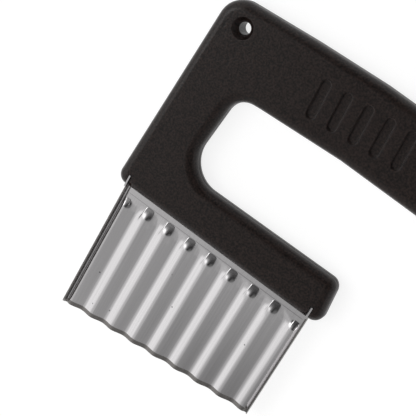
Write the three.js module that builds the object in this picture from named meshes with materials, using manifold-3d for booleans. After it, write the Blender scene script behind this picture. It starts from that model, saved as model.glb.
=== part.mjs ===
// Crinkle cutter: a flat C-shaped moulded handle, open on one side, with a corrugated stainless blade
// held in its lower bar. Millimetres. It lies on its rear face: X runs along the blade from the arm to
// the open side, Y from the cutting edge to the grip, Z from the rear face to the front face.

import * as THREE from 'three';
import { mergeVertices, toCreasedNormals } from 'three/addons/utils/BufferGeometryUtils.js';
import Module from 'manifold-3d';

// Driving dimensions: blade
const BLADE_WIDTH = 94.2;
const BLADE_REACH_ARM = 63.5;
const BLADE_REACH_OPEN = 52.9;
const SHEET = 0.7;
const FLANGE_DEPTH = 3.1;
const FLANGE_FOOT_RISE = 1.3;
const FLANGE_IN_BAR = 6.3;
const TAB_DEPTH = 5.0;
const TAB_BELOW_BAR = 1.2;
const TAB_EASE = 0.6;
const BEND_RADIUS = 0.7;
const RIDGE_PITCH = 11;
const RIDGE_HEIGHT = 1.45;
const RIDGE_FADE = 1.5;
const STRIP_HEIGHT = 3.75;
const RAMP_LENGTH = 4.9;
const GRIND_HEIGHT = 1.3;
const EDGE_THICKNESS = 0.12;
const TANG_HEIGHT = 12.5;
const TANG_INSET = 6;

// Driving dimensions: handle outline
const ARM_OVERHANG = 5.25;
const OPEN_OVERHANG = 4.85;
const BAR_HEIGHT = 18.8;
const BAR_END_DRAFT = 2.2;
const BAR_TOE_DROP = 0.6;
const ARM_LEAN_DEGREES = 3.5;
const ARM_WIDTH_FOOT = 22.45;
const ARM_WIDTH_HEAD = 24.35;
const GAP_HEIGHT = 39.5;
const GRIP_HEIGHT = 34.1;
const GRIP_CROWN = 3.1;
const GRIP_REACH_PAST_BAR = 21.4;
const GAP_FOOT_RADIUS = 13.2;
const GAP_HEAD_RADIUS = 9;
const GRIP_END_RADIUS = 14;
const HEAD_CORNER_RADIUS = 10.5;
const CROWN_RADIUS = 600;

// Driving dimensions: handle section
const HANDLE_THICKNESS = 10.6;
const EDGE_RADIUS = 3;
const LOBE_NOSE = 0.6;
const SIDE_WALL = 2.6;
const SKIN = 2.2;
const POCKET_RADIUS = 2;

// Driving dimensions: grip grooves and hanging hole
const GROOVE_COUNT = 5;
const GROOVE_PITCH = 9.6;
const GROOVE_WIDTH = 3.9;
const GROOVE_LENGTH = 16.6;
const GROOVE_DEPTH = 1.0;
const GROOVE_DROP = 1.2;
const GRIP_SLOPE_DEGREES = 3;
const HOLE_FROM_TOP = 9.6;
const HOLE_FROM_EDGE = 12.05;
const DISH_RADIUS = 4.45;
const DISH_DEPTH = 2.0;
const LEDGE_RADIUS = 3.2;
const LEDGE_DEPTH = 0.8;
const BORE_RADIUS = 2.55;
const REAR_CHAMFER = 0.8;

// Driving dimensions: pins and screws
const FIT = 0.3;
const PIN_DIAMETER = 3;
const PIN_COUNT = 3;
const PIN_SPACING = 30;
const PIN_FROM_BAR_EDGE = 8;
const SCREW_DIAMETER = 3;
const SCREW_HEAD_DIAMETER = 5.6;
const SCREW_HEAD_HEIGHT = 1.7;
const SCREW_BITE = 2.9;
const BOSS_WALL = 2.3;

// Mesh fineness
const ARC_STEP_DEGREES = 15;
const BEVEL_STEPS = 4;
const ROUND_SIDES = 20;
const POINTS_PER_RIDGE = 8;
const BEND_STEPS = 3;
const CREASE_DEGREES = 30;
const WELD = 1e-4;

// Sizes that follow from the driving dimensions. The bar's lower edge at the arm is Y = 0, the blade's
// middle is X = 0 and the plane where the two shells meet is Z = 0 until the last step moves the origin.
const halfThickness = HANDLE_THICKNESS / 2;
const pocketDepth = halfThickness - SKIN;
const leanSlope = Math.tan(THREE.MathUtils.degToRad(ARM_LEAN_DEGREES));
const gripSlope = THREE.MathUtils.degToRad(GRIP_SLOPE_DEGREES);
const lowGrip = BAR_HEIGHT + GAP_HEIGHT;
const topGrip = lowGrip + GRIP_HEIGHT;
const armFoot = -BLADE_WIDTH / 2 - ARM_OVERHANG;
const barEnd = BLADE_WIDTH / 2 + OPEN_OVERHANG;
const gripEnd = barEnd + GRIP_REACH_PAST_BAR;
const armEdgeAt = (y) => armFoot + y * leanSlope;
const gapFoot = armEdgeAt(BAR_HEIGHT) + ARM_WIDTH_FOOT;
const gapHead = armEdgeAt(lowGrip) + ARM_WIDTH_HEAD;
const gripMiddle = (gapHead + gripEnd) / 2;
const holeY = topGrip - HOLE_FROM_TOP;
const hole = new THREE.Vector2(armEdgeAt(holeY) + HOLE_FROM_EDGE, holeY);
const grooveCentre = new THREE.Vector2(gripMiddle, (lowGrip + topGrip) / 2 + GRIP_CROWN - GROOVE_DROP);
const tangHalf = BLADE_WIDTH / 2 - TANG_INSET;
const bossRadius = SCREW_HEAD_DIAMETER / 2 + BOSS_WALL;
// Cutting solids pass right through the handle, and the parting block is wider than all of it.
const cutterReach = 2 * HANDLE_THICKNESS;
const cutterSpan = 2 * (gripEnd + topGrip);

// Solids are joined and cut on merged positions only.
const wasm = await Module();
wasm.setup();

function toSolid(geometry) {
  const bare = new THREE.BufferGeometry();
  bare.setAttribute('position', geometry.getAttribute('position').clone());
  if (geometry.index) {
    bare.setIndex(geometry.index.clone());
  }
  const merged = mergeVertices(bare, WELD);
  const vertProperties = new Float32Array(merged.getAttribute('position').array);
  const triVerts = new Uint32Array(merged.index.array);
  return new wasm.Manifold(new wasm.Mesh({ numProp: 3, vertProperties, triVerts }));
}

function toGeometry(solid) {
  const mesh = solid.getMesh();
  const positions = new Float32Array(mesh.vertProperties);
  const geometry = new THREE.BufferGeometry();
  geometry.setAttribute('position', new THREE.BufferAttribute(positions, 3));
  geometry.setIndex(new THREE.BufferAttribute(new Uint32Array(mesh.triVerts), 1));
  return geometry;
}

function joinAll(solids) {
  return solids.reduce((whole, solid) => whole.add(solid));
}

// A closed outline from corners [x, y, radius], each corner turned into an arc that takes up at most
// half of the shorter of its two sides.
function roundedOutline(corners) {
  const points = [];
  corners.forEach(([x, y, radius], index) => {
    const corner = new THREE.Vector2(x, y);
    const before = corners[(index + corners.length - 1) % corners.length];
    const after = corners[(index + 1) % corners.length];
    const incoming = new THREE.Vector2(x - before[0], y - before[1]);
    const outgoing = new THREE.Vector2(after[0] - x, after[1] - y);
    const room = Math.min(incoming.length(), outgoing.length()) / 2;
    incoming.normalize();
    outgoing.normalize();
    const turn = Math.atan2(incoming.cross(outgoing), incoming.dot(outgoing));
    const tangentPerRadius = Math.tan(Math.abs(turn) / 2);
    const tangent = Math.min(radius * tangentPerRadius, room);
    const start = corner.clone().addScaledVector(incoming, -tangent);
    const toCentre = (Math.sign(turn) * tangent) / tangentPerRadius;
    const centre = start.clone().add(new THREE.Vector2(-incoming.y, incoming.x).multiplyScalar(toCentre));
    const turnDegrees = THREE.MathUtils.radToDeg(Math.abs(turn));
    const steps = Math.max(2, Math.ceil(turnDegrees / ARC_STEP_DEGREES));
    for (let step = 0; step <= steps; step++) {
      points.push(start.clone().rotateAround(centre, (turn * step) / steps));
    }
  });
  return new THREE.Shape(points);
}

function prism(shape, fromZ, toZ) {
  const geometry = new THREE.ExtrudeGeometry(shape, { depth: toZ - fromZ, bevelEnabled: false });
  return toSolid(geometry.translate(0, 0, fromZ));
}

function block(fromX, toX, fromY, toY, fromZ, toZ) {
  const geometry = new THREE.BoxGeometry(toX - fromX, toY - fromY, toZ - fromZ);
  return toSolid(geometry.translate((fromX + toX) / 2, (fromY + toY) / 2, (fromZ + toZ) / 2));
}

// A turned solid about an axis along Z, from [radius, z] points that start and end on the axis.
function turned(profile, x, y) {
  const points = profile.map(([radius, z]) => new THREE.Vector2(radius, z));
  return new THREE.LatheGeometry(points, ROUND_SIDES).rotateX(Math.PI / 2).translate(x, y, 0);
}

function roundBar(radius, x, y, fromZ, toZ) {
  return turned([[0, fromZ], [radius, fromZ], [radius, toZ], [0, toZ]], x, y);
}

// Handle: the whole moulding, with rounded front and rear edges, before it is parted.
function handleBlank() {
  const outline = roundedOutline([
    [armFoot, 0, EDGE_RADIUS + LOBE_NOSE],
    [barEnd, -BAR_TOE_DROP, EDGE_RADIUS + LOBE_NOSE],
    [barEnd - BAR_END_DRAFT, BAR_HEIGHT, EDGE_RADIUS + LOBE_NOSE],
    [gapFoot, BAR_HEIGHT, GAP_FOOT_RADIUS],
    [gapHead, lowGrip, GAP_HEAD_RADIUS],
    [gripMiddle, lowGrip + GRIP_CROWN, CROWN_RADIUS],
    [gripEnd, lowGrip, GRIP_END_RADIUS],
    [gripEnd, topGrip, GRIP_END_RADIUS],
    [gripMiddle, topGrip + GRIP_CROWN, CROWN_RADIUS],
    [armEdgeAt(topGrip), topGrip, HEAD_CORNER_RADIUS],
  ]);
  const wall = HANDLE_THICKNESS - 2 * EDGE_RADIUS;
  const geometry = new THREE.ExtrudeGeometry(outline, {
    depth: wall,
    bevelThickness: EDGE_RADIUS,
    bevelSize: EDGE_RADIUS,
    bevelOffset: -EDGE_RADIUS,
    bevelSegments: BEVEL_STEPS,
  });
  return toSolid(geometry.translate(0, 0, -wall / 2));
}

// Handle: hollows in the arm and the grip, inside the side walls and the skin.
const armPocketTop = hole.y - DISH_RADIUS - SIDE_WALL;
const armPocketFoot = BAR_HEIGHT + SIDE_WALL;
const gripPocketStart = gapHead + SIDE_WALL;
const gripPocketEnd = gripEnd - SIDE_WALL;

function pockets() {
  const arm = roundedOutline([
    [armEdgeAt(armPocketFoot) + SIDE_WALL, armPocketFoot, POCKET_RADIUS],
    [gapFoot - SIDE_WALL, armPocketFoot, POCKET_RADIUS],
    [gapHead - SIDE_WALL, lowGrip, POCKET_RADIUS],
    [gapHead - SIDE_WALL, armPocketTop, POCKET_RADIUS],
    [armEdgeAt(armPocketTop) + SIDE_WALL, armPocketTop, POCKET_RADIUS],
  ]);
  const endRadius = GRIP_END_RADIUS - SIDE_WALL;
  const grip = roundedOutline([
    [gripPocketStart, lowGrip + GRIP_CROWN + SIDE_WALL, POCKET_RADIUS],
    [gripPocketEnd, lowGrip + GRIP_CROWN + SIDE_WALL, endRadius],
    [gripPocketEnd, topGrip - SIDE_WALL, endRadius],
    [gripPocketStart, topGrip - SIDE_WALL, POCKET_RADIUS],
  ]);
  return joinAll([prism(arm, -pocketDepth, pocketDepth), prism(grip, -pocketDepth, pocketDepth)]);
}

// Screws sit on the middle line of the arm and of the grip, and beside the blade's tang in the bar.
const armMiddleAt = (y) => {
  const share = (y - BAR_HEIGHT) / GAP_HEIGHT;
  return armEdgeAt(y) + THREE.MathUtils.lerp(ARM_WIDTH_FOOT, ARM_WIDTH_HEAD, share) / 2;
};
const bossInset = bossRadius - SIDE_WALL / 2;
const armScrewFoot = armPocketFoot + bossInset;
const armScrewHead = lowGrip;
const gripScrewY = (lowGrip + topGrip + GRIP_CROWN) / 2;
const barScrewX = tangHalf + FIT + BOSS_WALL + SCREW_DIAMETER / 2;
const barScrewY = (FLANGE_IN_BAR + BAR_HEIGHT) / 2;
const screwPlaces = [
  [armMiddleAt(armScrewFoot), armScrewFoot],
  [armMiddleAt(armScrewHead), armScrewHead],
  [gripPocketStart + bossInset, gripScrewY],
  [gripPocketEnd - bossInset, gripScrewY],
  [barScrewX, barScrewY],
];
const headSeat = -pocketDepth;

function screwSolid([x, y], clearance) {
  const shank = SCREW_DIAMETER / 2 + clearance;
  const head = SCREW_HEAD_DIAMETER / 2 + clearance;
  const headTop = clearance > 0 ? -cutterReach : headSeat - SCREW_HEAD_HEIGHT;
  const tip = SCREW_BITE + clearance;
  const headProfile = [[0, headTop], [head, headTop], [head, headSeat]];
  const shankProfile = [[shank, headSeat], [shank, tip], [0, tip]];
  return turned([...headProfile, ...shankProfile], x, y);
}

// Pins cross the tang in a row at the middle of the bar.
const firstPin = (-(PIN_COUNT - 1) / 2) * PIN_SPACING;
const pinPlaces = Array.from({ length: PIN_COUNT }, (_, index) => firstPin + index * PIN_SPACING);
const pinHalfLength = pocketDepth - FIT;

function pinSolid(x, clearance) {
  const half = pinHalfLength + clearance;
  return roundBar(PIN_DIAMETER / 2 + clearance, x, PIN_FROM_BAR_EDGE, -half, half);
}

// Grip grooves: a row of round-ended slots across the grip, in the front and the rear face.
function grooves() {
  const radius = GROOVE_WIDTH / 2;
  const straight = GROOVE_LENGTH / 2 - radius;
  const slot = roundedOutline([
    [-radius, -straight - radius, radius],
    [radius, -straight - radius, radius],
    [radius, straight + radius, radius],
    [-radius, straight + radius, radius],
  ]);
  const floor = halfThickness - GROOVE_DEPTH;
  const cuts = [];
  for (let index = 0; index < GROOVE_COUNT; index++) {
    const along = (index - (GROOVE_COUNT - 1) / 2) * GROOVE_PITCH;
    for (const [fromZ, toZ] of [[floor, cutterReach], [-cutterReach, -floor]]) {
      const geometry = new THREE.ExtrudeGeometry(slot, { depth: toZ - fromZ, bevelEnabled: false });
      geometry.translate(along, 0, fromZ).rotateZ(gripSlope);
      cuts.push(toSolid(geometry.translate(grooveCentre.x, grooveCentre.y, 0)));
    }
  }
  return joinAll(cuts);
}

// Hanging hole: a conical dish with a sloping ledge in the front face, a bore, and a chamfer at the rear.
function hangingHole() {
  const ledge = halfThickness - DISH_DEPTH;
  const profile = [
    [0, -cutterReach],
    [BORE_RADIUS + REAR_CHAMFER, -cutterReach],
    [BORE_RADIUS + REAR_CHAMFER, -halfThickness],
    [BORE_RADIUS, REAR_CHAMFER - halfThickness],
    [BORE_RADIUS, ledge - LEDGE_DEPTH],
    [LEDGE_RADIUS, ledge],
    [DISH_RADIUS, halfThickness],
    [DISH_RADIUS, cutterReach],
    [0, cutterReach],
  ];
  return toSolid(turned(profile, hole.x, hole.y));
}

// Room for the blade in the bar: the sheet's own slot, and a slit for each flange through the front.
function bladeRoom() {
  const half = BLADE_WIDTH / 2 + FIT;
  const slitInside = BLADE_WIDTH / 2 - SHEET / 2 - BEND_RADIUS - FIT;
  const flangeTop = FLANGE_IN_BAR + FIT;
  const below = -cutterReach;
  return joinAll([
    block(-half, half, below, flangeTop, -SHEET / 2, SHEET / 2),
    block(-tangHalf - FIT, tangHalf + FIT, below, TANG_HEIGHT + FIT, -SHEET / 2, SHEET / 2),
    block(-half, -slitInside, below, flangeTop, -SHEET / 2, cutterReach),
    block(slitInside, half, below, flangeTop, -SHEET / 2, cutterReach),
  ]);
}

// Shells: the moulding parted at mid-thickness, with bosses left standing in the pockets.
function shells() {
  const boss = ([x, y]) => toSolid(roundBar(bossRadius, x, y, -cutterReach, cutterReach));
  const hollow = pockets().subtract(joinAll(screwPlaces.map(boss)));
  const screwHoles = screwPlaces.map((place) => toSolid(screwSolid(place, FIT)));
  const pinHoles = pinPlaces.map((x) => toSolid(pinSolid(x, FIT)));
  const cuts = joinAll([hollow, grooves(), hangingHole(), bladeRoom(), ...screwHoles, ...pinHoles]);
  const moulding = handleBlank().subtract(cuts);
  const front = block(-cutterSpan, cutterSpan, -cutterSpan, cutterSpan, 0, cutterSpan);
  return { front: moulding.intersect(front), rear: moulding.subtract(front) };
}

// Blade section at one height: the sheet's middle line from flange to flange, as points [x, z, flange].
// The ridges stand as far in front of the flat sheet as the valleys lie behind it.
const sheetHalf = BLADE_WIDTH / 2 - SHEET / 2;
const flatHalf = sheetHalf - BEND_RADIUS;

function ridgeAt(x) {
  const wave = Math.cos((2 * Math.PI * x) / RIDGE_PITCH);
  const fade = THREE.MathUtils.smoothstep(flatHalf - Math.abs(x), 0, RIDGE_FADE);
  return (RIDGE_HEIGHT / 2) * wave * fade;
}

function bladeSection(ridgeShare, flangeDepth) {
  const bend = [];
  for (let step = 0; step <= BEND_STEPS; step++) {
    const angle = (step / BEND_STEPS) * (Math.PI / 2);
    const inward = BEND_RADIUS * (1 - Math.cos(angle));
    const forward = BEND_RADIUS * (1 - Math.sin(angle));
    bend.push([sheetHalf - inward, forward, step === 0]);
  }
  const side = [[sheetHalf, flangeDepth, true], ...bend];
  const left = side.map(([x, z, flange]) => [-x, z, flange]);
  const steps = Math.round(((2 * flatHalf) / RIDGE_PITCH) * POINTS_PER_RIDGE);
  const middle = [];
  for (let step = 1; step < steps; step++) {
    const x = -flatHalf + (2 * flatHalf * step) / steps;
    middle.push([x, ridgeShare * ridgeAt(x), false]);
  }
  return [...left, ...middle, ...side.reverse()];
}

function cuttingEdgeAt(x) {
  const share = (x + BLADE_WIDTH / 2) / BLADE_WIDTH;
  return -THREE.MathUtils.lerp(BLADE_REACH_ARM, BLADE_REACH_OPEN, share);
}

// Rows of the blade from the cutting edge up. The ridges end in ramps under the flat strip, and each
// flange widens into a tab where it enters the bar.
function bladeRows() {
  const foot = (x, z, flange) => {
    const rise = flange ? (FLANGE_FOOT_RISE * (z - BEND_RADIUS)) / (FLANGE_DEPTH - BEND_RADIUS) : 0;
    return cuttingEdgeAt(x) + rise;
  };
  const ground = (x, z, flange) => foot(x, z, flange) + GRIND_HEIGHT;
  const crease = -STRIP_HEIGHT;
  const tabFoot = -TAB_BELOW_BAR;
  return [
    { ridge: 1, flange: FLANGE_DEPTH, thickness: EDGE_THICKNESS, height: foot },
    { ridge: 1, flange: FLANGE_DEPTH, thickness: SHEET, height: ground },
    { ridge: 1, flange: FLANGE_DEPTH, thickness: SHEET, height: () => crease - RAMP_LENGTH },
    { ridge: 0, flange: FLANGE_DEPTH, thickness: SHEET, height: () => crease },
    { ridge: 0, flange: FLANGE_DEPTH, thickness: SHEET, height: () => tabFoot },
    { ridge: 0, flange: TAB_DEPTH, thickness: SHEET, height: () => tabFoot + TAB_EASE },
    { ridge: 0, flange: TAB_DEPTH, thickness: SHEET, height: () => FLANGE_IN_BAR },
  ];
}

// The corrugated sheet with its flanges: a front skin, a rear skin and the four edges between them.
function corrugatedSheet() {
  const rows = bladeRows();
  const sections = rows.map(({ ridge, flange }) => bladeSection(ridge, flange));
  const positions = [];
  rows.forEach(({ thickness, height }, row) => {
    const section = sections[row];
    section.forEach(([x, z, flange], index) => {
      const before = section[Math.max(index - 1, 0)];
      const after = section[Math.min(index + 1, section.length - 1)];
      const along = new THREE.Vector2(after[0] - before[0], after[1] - before[1]).normalize();
      const front = (flange ? SHEET : thickness) - SHEET / 2;
      const y = height(x, z, flange);
      positions.push(x - along.y * front, y, z + along.x * front);
      positions.push(x + (along.y * SHEET) / 2, y, z - (along.x * SHEET) / 2);
    });
  });
  const columns = sections[0].length;
  const front = (column, row) => 2 * (row * columns + column);
  const rear = (column, row) => front(column, row) + 1;
  const index = [];
  const quad = (a, b, c, d) => index.push(a, b, c, a, c, d);
  const last = columns - 1;
  const top = rows.length - 1;
  for (let row = 0; row < top; row++) {
    const above = row + 1;
    for (let column = 0; column < last; column++) {
      const next = column + 1;
      quad(front(column, row), front(next, row), front(next, above), front(column, above));
      quad(rear(column, row), rear(column, above), rear(next, above), rear(next, row));
    }
    quad(front(0, row), front(0, above), rear(0, above), rear(0, row));
    quad(front(last, above), front(last, row), rear(last, row), rear(last, above));
  }
  for (let column = 0; column < last; column++) {
    const next = column + 1;
    quad(front(next, 0), front(column, 0), rear(column, 0), rear(next, 0));
    quad(front(column, top), front(next, top), rear(next, top), rear(column, top));
  }
  const geometry = new THREE.BufferGeometry();
  geometry.setAttribute('position', new THREE.Float32BufferAttribute(positions, 3));
  geometry.setIndex(index);
  return toSolid(geometry);
}

function blade() {
  const tang = block(-tangHalf, tangHalf, 0, TANG_HEIGHT, -SHEET / 2, SHEET / 2);
  const pinHoles = pinPlaces.map((x) => toSolid(pinSolid(x, FIT)));
  return corrugatedSheet().add(tang).subtract(joinAll(pinHoles));
}

// Materials and assembly
const looks = {
  handle: { color: 0x242120, roughness: 0.6, metalness: 0 },
  blade: { color: 0xb4b2b4, roughness: 0.25, metalness: 1 },
  fixing: { color: 0x9a9a9c, roughness: 0.35, metalness: 1 },
};
const cutter = new THREE.Group();

function addPiece(name, geometry, look) {
  const creased = toCreasedNormals(geometry, THREE.MathUtils.degToRad(CREASE_DEGREES));
  const mesh = new THREE.Mesh(creased, new THREE.MeshStandardMaterial(looks[look]));
  mesh.name = name;
  cutter.add(mesh);
}

const { front, rear } = shells();
addPiece('front_shell', toGeometry(front), 'handle');
addPiece('rear_shell', toGeometry(rear), 'handle');
addPiece('blade', toGeometry(blade()), 'blade');
pinPlaces.forEach((x, index) => addPiece(`tang_pin_${index + 1}`, pinSolid(x, 0), 'fixing'));
screwPlaces.forEach((place, index) => addPiece(`shell_screw_${index + 1}`, screwSolid(place, 0), 'fixing'));

// The origin is the middle of the box, on the plane that the rear face lies on.
const bounds = new THREE.Box3().setFromObject(cutter, true);
const middle = bounds.getCenter(new THREE.Vector3());
cutter.children.forEach((piece) => piece.geometry.translate(-middle.x, -middle.y, -bounds.min.z));

export default cutter;
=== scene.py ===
"""Crinkle cutter: a flat C-shaped moulded handle with a corrugated stainless blade, on a white sweep.

Everything is in metres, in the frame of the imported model: X along the blade from the arm to the open
side, Y from the cutting edge to the grip, Z from the rear face to the front face.
"""

import math

import bmesh
import bpy
from mathutils import Matrix, Vector


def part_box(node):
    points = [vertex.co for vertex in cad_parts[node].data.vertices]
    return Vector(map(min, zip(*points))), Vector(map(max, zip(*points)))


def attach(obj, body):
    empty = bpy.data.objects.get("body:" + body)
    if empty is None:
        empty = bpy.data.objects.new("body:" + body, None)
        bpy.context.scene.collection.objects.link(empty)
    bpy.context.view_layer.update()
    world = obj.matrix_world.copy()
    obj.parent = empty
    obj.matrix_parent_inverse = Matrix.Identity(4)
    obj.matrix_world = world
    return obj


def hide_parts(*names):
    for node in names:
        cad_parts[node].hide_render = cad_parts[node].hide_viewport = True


bl_info = {
    "name": "Crinkle Cutter",
    "version": (1, 0, 0),
    "blender": (4, 5, 0),
    "location": "View3D > Sidebar > Cutter",
    "description": "Builds a hand-held crinkle cutter and a plain stage for it",
    "category": "Object",
}

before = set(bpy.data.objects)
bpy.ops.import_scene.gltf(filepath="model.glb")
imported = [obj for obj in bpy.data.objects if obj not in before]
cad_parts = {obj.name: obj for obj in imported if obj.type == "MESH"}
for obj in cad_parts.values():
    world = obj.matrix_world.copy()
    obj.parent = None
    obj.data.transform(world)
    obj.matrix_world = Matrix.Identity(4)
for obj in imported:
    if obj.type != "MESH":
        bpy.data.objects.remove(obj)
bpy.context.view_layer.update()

MM = 0.001


def middle_of(node):
    """The middle of a node's box."""
    low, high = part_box(node)
    return (low + high) / 2


# The plan's origin: the blade's middle in X, the solid bar's lower edge in Y, and the plane where the two
# shells meet in Z. The middle tang pin stands on the blade's middle, this far above the bar's edge.
PIN_FROM_BAR_EDGE = 8.0 * MM
PIN_MIDDLE = middle_of("tang_pin_2")
PARTING_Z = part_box("rear_shell")[1].z
PLAN_ORIGIN = Vector((PIN_MIDDLE.x, PIN_MIDDLE.y - PIN_FROM_BAR_EDGE, PARTING_Z))

SHELL_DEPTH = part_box("front_shell")[1].z - PARTING_Z
SCREW_NODES = sorted(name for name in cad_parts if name.startswith("shell_screw_"))
PIN_NODES = sorted(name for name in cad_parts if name.startswith("tang_pin_"))


def length(name, size_mm, description):
    """A length property with its default given in millimetres."""
    return bpy.props.FloatProperty(
        name=name, description=description, default=size_mm * MM, min=0.0, unit="LENGTH", subtype="DISTANCE"
    )


def angle(name, degrees, description):
    """An angle property with its default given in degrees."""
    return bpy.props.FloatProperty(
        name=name, description=description, default=math.radians(degrees), subtype="ANGLE"
    )


def number(name, value, description):
    """A plain number property."""
    return bpy.props.FloatProperty(name=name, description=description, default=value)


def linear(hex_colour):
    """An sRGB hex colour as linear red, green and blue."""
    channels = [int(hex_colour[start : start + 2], 16) / 255 for start in (1, 3, 5)]
    return [c / 12.92 if c <= 0.04045 else ((c + 0.055) / 1.055) ** 2.4 for c in channels]


def colour(name, hex_colour, description):
    """A colour property with its default given as an sRGB hex value."""
    return bpy.props.FloatVectorProperty(
        name=name, description=description, default=linear(hex_colour), min=0.0, max=1.0, subtype="COLOR"
    )


class HandleSettings(bpy.types.PropertyGroup):
    """Sizes and colour of the two handle shells."""

    arm_overhang: length("Arm overhang", 5.6, "How far the arm's foot stands past the blade")
    open_overhang: length("Open overhang", 5.3, "How far the bar's open end stands past the blade")
    bar_height: length("Bar height", 18.8, "Height of the bar that holds the blade")
    bar_end_draft: length("Bar end draft", 2.2, "How far the bar's open end leans in at its top")
    bar_lip: length("Bar lip", 0.45, "How far the bar's lower edge stands below the plan's origin")
    bar_toe_drop: length("Bar toe drop", 0.6, "How far the bar's lower edge drops at its open end")
    arm_lean: angle("Arm lean", 3.5, "Lean of the arm's outer edge")
    arm_width_foot: length("Arm width at foot", 23.2, "Width of the arm at the bar")
    arm_width_head: length("Arm width at head", 24.9, "Width of the arm at the grip")
    gap_height: length("Finger gap", 39.5, "Height of the gap between bar and grip")
    grip_height: length("Grip height", 34.1, "Height of the grip")
    grip_crown: length("Grip crown", 3.1, "Rise of the grip's edges at its middle")
    grip_reach: length("Grip reach", 20.95, "How far the grip reaches past the bar")
    gap_foot_radius: length("Gap foot radius", 13.2, "Corner radius of the gap at the bar")
    gap_head_radius: length("Gap head radius", 9.0, "Corner radius of the gap at the grip")
    grip_end_radius: length("Grip end radius", 14.0, "Corner radius of the grip's free end")
    head_corner_radius: length("Head corner radius", 10.5, "Corner radius by the hanging hole")
    crown_radius: length("Crown radius", 600.0, "Radius that rounds the grip's crown")
    edge_radius: length("Edge radius", 4.3, "Rounding of the front and rear edges")
    lobe_nose: length("Lobe nose", 0.3, "Extra radius of the bar's corners over the edge rounding")
    seam: length("Seam chamfer", 0.15, "Chamfer of the parting line between the shells")
    seam_gap: length("Seam gap", 0.02, "How far each shell stops short of the parting plane")
    groove_count: bpy.props.IntProperty(name="Grooves", description="Grooves in each grip face", default=5)
    groove_pitch: length("Groove pitch", 9.6, "Spacing of the grip grooves")
    groove_width: length("Groove width", 3.9, "Width of a grip groove")
    groove_length: length("Groove length", 16.6, "Length of a grip groove")
    groove_depth: length("Groove depth", 1.0, "Depth of a grip groove")
    groove_drop: length("Groove drop", 1.2, "How far the row of grooves sits below the grip's middle")
    groove_rim: length("Groove rim", 0.5, "Rounding of a groove's rim")
    groove_slope: angle("Groove slope", 3.0, "Turn of the row of grooves")
    hole_from_top: length("Hole from top", 9.6, "Hanging hole below the grip's upper edge")
    hole_from_edge: length("Hole from edge", 12.4, "Hanging hole from the arm's outer edge")
    dish_radius: length("Dish radius", 4.45, "Radius of the dish round the hanging hole")
    dish_depth: length("Dish depth", 2.0, "Depth of the dish round the hanging hole")
    dish_rim: length("Dish rim", 0.3, "Rounding of the dish's rim")
    ledge_radius: length("Ledge radius", 3.2, "Radius of the ledge at the foot of the dish")
    ledge_depth: length("Ledge depth", 0.8, "Drop from the ledge to the bore")
    bore_radius: length("Bore radius", 2.55, "Radius of the hanging hole")
    rear_chamfer: length("Rear chamfer", 0.8, "Chamfer of the hanging hole in the rear face")
    shade: colour("Plastic", "#17100e", "Colour of the moulded plastic")


class BladeSettings(bpy.types.PropertyGroup):
    """Sizes and colour of the corrugated blade."""

    width: length("Blade width", 94.2, "Width over the flanges")
    reach_arm: length("Reach at arm", 63.5, "Reach of the cutting edge below the bar at the arm side")
    reach_open: length("Reach at open side", 52.9, "Reach of the cutting edge below the bar at the open side")
    sheet: length("Sheet", 0.7, "Thickness of the sheet")
    flange_depth: length("Flange depth", 3.1, "How far the flanges stand forward below the bar")
    flange_in_bar: length("Flange in bar", 4.7, "How far the flanges run up into the bar")
    flange_foot_rise: length("Flange foot rise", 1.3, "How far a flange's foot is cut back at its front")
    tab_depth: length("Tab depth", 5.0, "How far the flanges stand forward in the bar")
    tab_below_bar: length("Tab below bar", 1.2, "Where the flanges start to widen below the bar")
    tab_ease: length("Tab ease", 0.6, "Length over which the flanges widen")
    bend_radius: length("Bend radius", 0.7, "Radius of the flange bends")
    ridge_pitch: length("Ridge pitch", 11.0, "Spacing of the ridges")
    ridge_height: length("Ridge height", 1.45, "Height of the ridges over the valleys")
    ridge_fade: length("Ridge fade", 1.5, "Width over which a ridge fades beside a flange")
    end_drop: length("End drop", 1.9, "How much lower the last ridge at each side starts")
    end_shortening: number("End shortening", 0.3, "How much faster the last ridges' ends ramp up")
    end_narrowing: number("End narrowing", 0.38, "Share by which the last ridges' ends are narrower")
    strip_height: length("Strip height", 3.85, "Flat strip between the bar and the crease")
    flank_length: length("Flank length", 6.0, "Length over which the ridges' flanks grow below the crease")
    ramp_length: length("Ramp length", 8.9, "Length in which a ridge's end ramps up to the full height")
    nose_half_width: length("Nose half width", 1.8, "Half width of a ridge's end at the crease")
    nose_spread: number("Nose spread", 0.155, "How fast a ridge's end widens below the crease")
    nose_squareness: number("Nose squareness", 4.75, "How square a ridge's end is; 2 is a round arch")
    nose_corner: length("Nose corner", 0.6, "Rounding of the upper corners of a ridge's end")
    nose_rounding: length("Nose rounding", 0.04, "Rounding of the edges of a ridge's end")
    nose_foot: length("Nose foot", 0.3, "Rounding where a ridge's end meets the flanks")
    merge_start: length("Merge start", 2.5, "Where a ridge's end starts to merge into the wave")
    merge_end: length("Merge end", 8.9, "Where a ridge's end has merged into the wave")
    crease_step: length("Crease step", 0.016, "Rise of the pressed line above the ridges")
    crease_width: length("Crease width", 0.4, "Width of the pressed line above the ridges")
    grind_height: length("Grind height", 2.2, "Height of the ground bevel")
    edge_thickness: length("Edge thickness", 0.12, "Thickness left at the cutting edge")
    tang_height: length("Tang height", 12.5, "Reach of the tang up into the bar")
    tang_start: length("Tang start", 1.0, "Where the tang starts, inside the sheet's top edge")
    tang_inset: length("Tang inset", 6.0, "How far the tang stops short of each flange")
    fit: length("Fit", 0.3, "Room round the blade in the bar")
    face_fit: length("Face fit", 0.05, "Room in front of the sheet in the bar, and behind it")
    shade: colour("Steel", "#cfcdce", "Colour of the rolled stainless sheet")
    # On the flanges and their rims this colour is painted shade; on the bevel it is the ground finish.
    ground_and_shade_colour: colour("Dull steel", "#7d7a78", "Colour of the ground bevel and the pressed flanges")


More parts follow.
